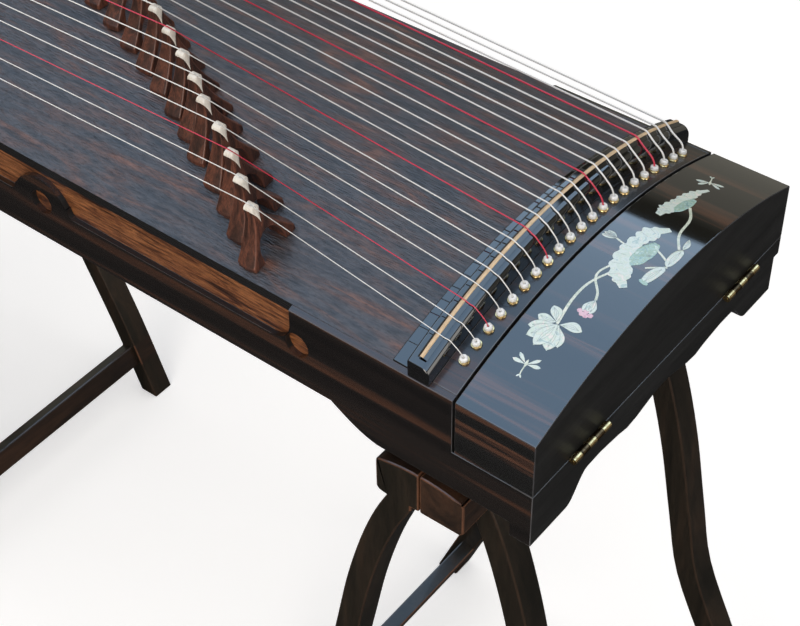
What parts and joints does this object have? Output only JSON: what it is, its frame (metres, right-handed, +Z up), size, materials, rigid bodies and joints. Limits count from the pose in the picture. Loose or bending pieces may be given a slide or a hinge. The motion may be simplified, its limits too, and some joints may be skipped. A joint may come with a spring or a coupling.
{
  "type": "guzheng on folding stands",
  "caption": "Long arched zither with movable bridges, hinged head lid, tuning pins and two folding wooden trestle stands.",
  "frame": {"origin": "on the floor under the middle of the whole", "axes": "+X towards the head end, +Y to the far side from the player, +Z up"},
  "size_m": [1.749, 0.345, 0.7566],
  "materials": {
    "soundboard_wood": "charred and waxed paulownia, satin",
    "back_wood": "plain boards, oiled",
    "ebony": "fine satin",
    "panel_wood": "striped hardwood, satin lacquer",
    "lacquer": "deep polished black lacquer",
    "saddle_horn": "tan, lightly polished",
    "brass": "polished",
    "string_white": "smooth nylon winding",
    "string_red": "smooth nylon winding",
    "stand_wood": "dark stain worn at the edges",
    "rosewood": "waxed, with pale inlaid top",
    "pin_steel": "nickel plated"
  },
  "bodies": {
    "head_stand": {"head_stand_wide": "stand_wood"},
    "head_stand_inner": {"head_stand_slim": "stand_wood"},
    "tail_stand": {"tail_stand_wide": "stand_wood"},
    "tail_stand_inner": {"tail_stand_slim": "stand_wood"},
    "instrument": {"soundboard": "soundboard_wood", "back_board": "back_wood", "side_aprons": "ebony", "side_panels": "panel_wood", "head_block": "ebony", "head_nut": "lacquer", "saddle": "saddle_horn", "grommets": "brass", "hinge_body_leaves": "brass", "tail_block": "lacquer", "strings_white": "string_white", "strings_red": "string_red"},
    "lid": {"lid": "lacquer", "hinge_lid_leaves": "brass"},
    "bridge_01": {"bridge_01": "rosewood"},
    "bridge_02": {"bridge_02": "rosewood"},
    "bridge_03": {"bridge_03": "rosewood"},
    "bridge_04": {"bridge_04": "rosewood"},
    "bridge_05": {"bridge_05": "rosewood"},
    "bridge_06": {"bridge_06": "rosewood"},
    "bridge_07": {"bridge_07": "rosewood"},
    "bridge_08": {"bridge_08": "rosewood"},
    "bridge_09": {"bridge_09": "rosewood"},
    "bridge_10": {"bridge_10": "rosewood"},
    "bridge_11": {"bridge_11": "rosewood"},
    "bridge_12": {"bridge_12": "rosewood"},
    "bridge_13": {"bridge_13": "rosewood"},
    "bridge_14": {"bridge_14": "rosewood"},
    "bridge_15": {"bridge_15": "rosewood"},
    "bridge_16": {"bridge_16": "rosewood"},
    "bridge_17": {"bridge_17": "rosewood"},
    "bridge_18": {"bridge_18": "rosewood"},
    "bridge_19": {"bridge_19": "rosewood"},
    "bridge_20": {"bridge_20": "rosewood"},
    "bridge_21": {"bridge_21": "rosewood"},
    "tuning_pin_01": {"tuning_pin_01": "pin_steel"},
    "tuning_pin_02": {"tuning_pin_02": "pin_steel"},
    "tuning_pin_03": {"tuning_pin_03": "pin_steel"},
    "tuning_pin_04": {"tuning_pin_04": "pin_steel"},
    "tuning_pin_05": {"tuning_pin_05": "pin_steel"},
    "tuning_pin_06": {"tuning_pin_06": "pin_steel"},
    "tuning_pin_07": {"tuning_pin_07": "pin_steel"},
    "tuning_pin_08": {"tuning_pin_08": "pin_steel"},
    "tuning_pin_09": {"tuning_pin_09": "pin_steel"},
    "tuning_pin_10": {"tuning_pin_10": "pin_steel"},
    "tuning_pin_11": {"tuning_pin_11": "pin_steel"},
    "tuning_pin_12": {"tuning_pin_12": "pin_steel"},
    "tuning_pin_13": {"tuning_pin_13": "pin_steel"},
    "tuning_pin_14": {"tuning_pin_14": "pin_steel"},
    "tuning_pin_15": {"tuning_pin_15": "pin_steel"},
    "tuning_pin_16": {"tuning_pin_16": "pin_steel"},
    "tuning_pin_17": {"tuning_pin_17": "pin_steel"},
    "tuning_pin_18": {"tuning_pin_18": "pin_steel"},
    "tuning_pin_19": {"tuning_pin_19": "pin_steel"},
    "tuning_pin_20": {"tuning_pin_20": "pin_steel"},
    "tuning_pin_21": {"tuning_pin_21": "pin_steel"}
  },
  "joints": [
    {"name": "body_lift", "type": "slide", "parent": "head_stand", "child": "instrument", "axis": [0, 0, 1], "range_m": [0, 0.15]},
    {"name": "fold_head_stand", "type": "hinge", "parent": "head_stand", "child": "head_stand_inner", "pos_m": [0.65654, 0, 0.531], "axis": [0, 1, 0], "range_deg": [0, 32]},
    {"name": "fold_tail_stand", "type": "hinge", "parent": "tail_stand", "child": "tail_stand_inner", "pos_m": [-0.19746, 0, 0.558], "axis": [0, -1, 0], "range_deg": [0, 32]},
    {"name": "lid_hinge", "type": "hinge", "parent": "instrument", "child": "lid", "pos_m": [0.75854, 0, 0.6202], "axis": [0, 1, 0], "range_deg": [0, 110]},
    {"name": "place_tail_stand", "type": "slide", "parent": "head_stand", "child": "tail_stand", "axis": [1, 0, 0], "range_m": [-0.3, 0.15]},
    {"name": "slide_bridge_01", "type": "slide", "parent": "instrument", "child": "bridge_01", "axis": [1, 0, 0], "range_m": [-0.002, 0.0035], "deforming": ["strings_white"]},
    {"name": "slide_bridge_02", "type": "slide", "parent": "instrument", "child": "bridge_02", "axis": [1, 0, 0], "range_m": [-0.0015, 0.002], "deforming": ["strings_white"]},
    {"name": "slide_bridge_03", "type": "slide", "parent": "instrument", "child": "bridge_03", "axis": [1, 0, 0], "range_m": [-0.003, 0.0015], "deforming": ["strings_red"]},
    {"name": "slide_bridge_04", "type": "slide", "parent": "instrument", "child": "bridge_04", "axis": [1, 0, 0], "range_m": [-0.005, 0.003], "deforming": ["strings_white"]},
    {"name": "slide_bridge_05", "type": "slide", "parent": "instrument", "child": "bridge_05", "axis": [1, 0, 0], "range_m": [-0.0015, 0.005], "deforming": ["strings_white"]},
    {"name": "slide_bridge_06", "type": "slide", "parent": "instrument", "child": "bridge_06", "axis": [1, 0, 0], "range_m": [-0.0035, 0.0015], "deforming": ["strings_white"]},
    {"name": "slide_bridge_07", "type": "slide", "parent": "instrument", "child": "bridge_07", "axis": [1, 0, 0], "range_m": [-0.0045, 0.0035], "deforming": ["strings_white"]},
    {"name": "slide_bridge_08", "type": "slide", "parent": "instrument", "child": "bridge_08", "axis": [1, 0, 0], "range_m": [-0.0045, 0.0045], "deforming": ["strings_red"]},
    {"name": "slide_bridge_09", "type": "slide", "parent": "instrument", "child": "bridge_09", "axis": [1, 0, 0], "range_m": [-0.0055, 0.0045], "deforming": ["strings_white"]},
    {"name": "slide_bridge_10", "type": "slide", "parent": "instrument", "child": "bridge_10", "axis": [1, 0, 0], "range_m": [-0.0065, 0.0055], "deforming": ["strings_white"]},
    {"name": "slide_bridge_11", "type": "slide", "parent": "instrument", "child": "bridge_11", "axis": [1, 0, 0], "range_m": [-0.0075, 0.0065], "deforming": ["strings_white"]},
    {"name": "slide_bridge_12", "type": "slide", "parent": "instrument", "child": "bridge_12", "axis": [1, 0, 0], "range_m": [-0.009, 0.0075], "deforming": ["strings_white"]},
    {"name": "slide_bridge_13", "type": "slide", "parent": "instrument", "child": "bridge_13", "axis": [1, 0, 0], "range_m": [-0.0105, 0.009], "deforming": ["strings_red"]},
    {"name": "slide_bridge_14", "type": "slide", "parent": "instrument", "child": "bridge_14", "axis": [1, 0, 0], "range_m": [-0.012, 0.0105], "deforming": ["strings_white"]},
    {"name": "slide_bridge_15", "type": "slide", "parent": "instrument", "child": "bridge_15", "axis": [1, 0, 0], "range_m": [-0.0135, 0.012], "deforming": ["strings_white"]},
    {"name": "slide_bridge_16", "type": "slide", "parent": "instrument", "child": "bridge_16", "axis": [1, 0, 0], "range_m": [-0.015, 0.0135], "deforming": ["strings_white"]},
    {"name": "slide_bridge_17", "type": "slide", "parent": "instrument", "child": "bridge_17", "axis": [1, 0, 0], "range_m": [-0.0165, 0.015], "deforming": ["strings_white"]},
    {"name": "slide_bridge_18", "type": "slide", "parent": "instrument", "child": "bridge_18", "axis": [1, 0, 0], "range_m": [-0.018, 0.0165], "deforming": ["strings_red"]},
    {"name": "slide_bridge_19", "type": "slide", "parent": "instrument", "child": "bridge_19", "axis": [1, 0, 0], "range_m": [-0.02, 0.018], "deforming": ["strings_white"]},
    {"name": "slide_bridge_20", "type": "slide", "parent": "instrument", "child": "bridge_20", "axis": [1, 0, 0], "range_m": [-0.022, 0.02], "deforming": ["strings_white"]},
    {"name": "slide_bridge_21", "type": "slide", "parent": "instrument", "child": "bridge_21", "axis": [1, 0, 0], "range_m": [-0.0155, 0.022], "deforming": ["strings_white"]},
    {"name": "turn_pin_01", "type": "hinge", "parent": "instrument", "child": "tuning_pin_01", "pos_m": [0.69654, -0.13975, 0.6], "axis": [0, 0, 1], "continuous": true},
    {"name": "turn_pin_02", "type": "hinge", "parent": "instrument", "child": "tuning_pin_02", "pos_m": [0.71054, -0.12543, 0.6], "axis": [0, 0, 1], "continuous": true},
    {"name": "turn_pin_03", "type": "hinge", "parent": "instrument", "child": "tuning_pin_03", "pos_m": [0.72454, -0.1111, 0.6], "axis": [0, 0, 1], "continuous": true},
    {"name": "turn_pin_04", "type": "hinge", "parent": "instrument", "child": "tuning_pin_04", "pos_m": [0.69654, -0.09677, 0.6], "axis": [0, 0, 1], "continuous": true},
    {"name": "turn_pin_05", "type": "hinge", "parent": "instrument", "child": "tuning_pin_05", "pos_m": [0.71054, -0.08245, 0.6], "axis": [0, 0, 1], "continuous": true},
    {"name": "turn_pin_06", "type": "hinge", "parent": "instrument", "child": "tuning_pin_06", "pos_m": [0.72454, -0.06813, 0.6], "axis": [0, 0, 1], "continuous": true},
    {"name": "turn_pin_07", "type": "hinge", "parent": "instrument", "child": "tuning_pin_07", "pos_m": [0.69654, -0.0538, 0.6], "axis": [0, 0, 1], "continuous": true},
    {"name": "turn_pin_08", "type": "hinge", "parent": "instrument", "child": "tuning_pin_08", "pos_m": [0.71054, -0.03948, 0.6], "axis": [0, 0, 1], "continuous": true},
    {"name": "turn_pin_09", "type": "hinge", "parent": "instrument", "child": "tuning_pin_09", "pos_m": [0.72454, -0.02515, 0.6], "axis": [0, 0, 1], "continuous": true},
    {"name": "turn_pin_10", "type": "hinge", "parent": "instrument", "child": "tuning_pin_10", "pos_m": [0.69654, -0.01083, 0.6], "axis": [0, 0, 1], "continuous": true},
    {"name": "turn_pin_11", "type": "hinge", "parent": "instrument", "child": "tuning_pin_11", "pos_m": [0.71054, 0.0035, 0.6], "axis": [0, 0, 1], "continuous": true},
    {"name": "turn_pin_12", "type": "hinge", "parent": "instrument", "child": "tuning_pin_12", "pos_m": [0.72454, 0.01783, 0.6], "axis": [0, 0, 1], "continuous": true},
    {"name": "turn_pin_13", "type": "hinge", "parent": "instrument", "child": "tuning_pin_13", "pos_m": [0.69654, 0.03215, 0.6], "axis": [0, 0, 1], "continuous": true},
    {"name": "turn_pin_14", "type": "hinge", "parent": "instrument", "child": "tuning_pin_14", "pos_m": [0.71054, 0.04648, 0.6], "axis": [0, 0, 1], "continuous": true},
    {"name": "turn_pin_15", "type": "hinge", "parent": "instrument", "child": "tuning_pin_15", "pos_m": [0.72454, 0.0608, 0.6], "axis": [0, 0, 1], "continuous": true},
    {"name": "turn_pin_16", "type": "hinge", "parent": "instrument", "child": "tuning_pin_16", "pos_m": [0.69654, 0.07512, 0.6], "axis": [0, 0, 1], "continuous": true},
    {"name": "turn_pin_17", "type": "hinge", "parent": "instrument", "child": "tuning_pin_17", "pos_m": [0.71054, 0.08945, 0.6], "axis": [0, 0, 1], "continuous": true},
    {"name": "turn_pin_18", "type": "hinge", "parent": "instrument", "child": "tuning_pin_18", "pos_m": [0.72454, 0.10378, 0.6], "axis": [0, 0, 1], "continuous": true},
    {"name": "turn_pin_19", "type": "hinge", "parent": "instrument", "child": "tuning_pin_19", "pos_m": [0.69654, 0.1181, 0.6], "axis": [0, 0, 1], "continuous": true},
    {"name": "turn_pin_20", "type": "hinge", "parent": "instrument", "child": "tuning_pin_20", "pos_m": [0.71054, 0.13243, 0.6], "axis": [0, 0, 1], "continuous": true},
    {"name": "turn_pin_21", "type": "hinge", "parent": "instrument", "child": "tuning_pin_21", "pos_m": [0.72454, 0.14675, 0.6], "axis": [0, 0, 1], "continuous": true}
  ]
}
